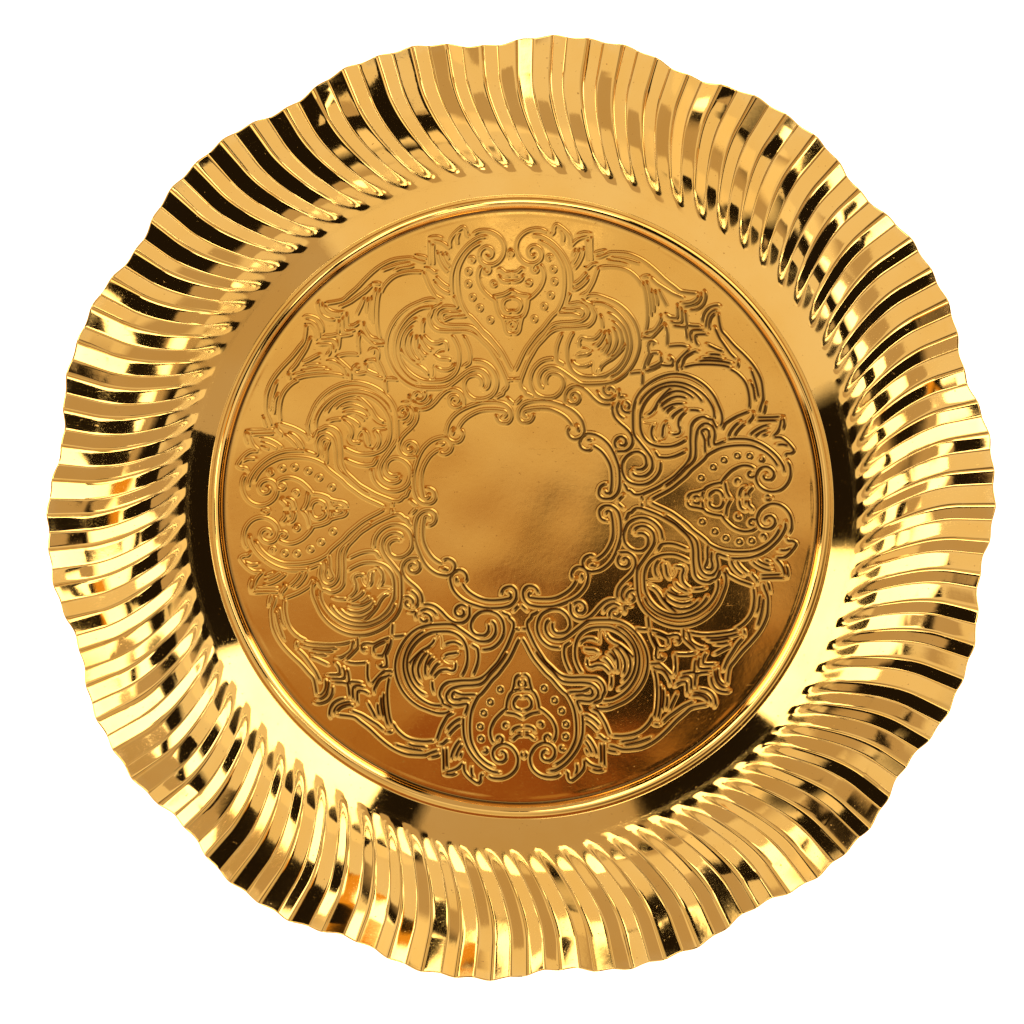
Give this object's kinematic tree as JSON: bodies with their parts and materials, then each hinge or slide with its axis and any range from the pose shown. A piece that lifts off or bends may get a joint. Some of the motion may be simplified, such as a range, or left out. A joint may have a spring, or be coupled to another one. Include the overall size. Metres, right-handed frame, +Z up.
{
  "type": "round fluted serving tray",
  "caption": "Round shallow brass serving tray with a flat embossed well, a rounded step, a plain cove and a wide fluted rim with a softly scalloped edge.",
  "frame": {"origin": "centre of the flat underside, on the plane the tray rests on", "axes": "+Z up along the tray's axis of symmetry; +X and +Y in the plane it rests on, towards the ornament's right and top motifs"},
  "size_m": [0.3078, 0.3068, 0.0193],
  "materials": {
    "well_brass": "embossed, satin polish",
    "polished_brass": "mirror polish"
  },
  "bodies": {
    "root": {"well_floor": "well_brass", "step_ring": "polished_brass", "cove": "polished_brass", "fluted_rim": "polished_brass"}
  },
  "joints": []
}
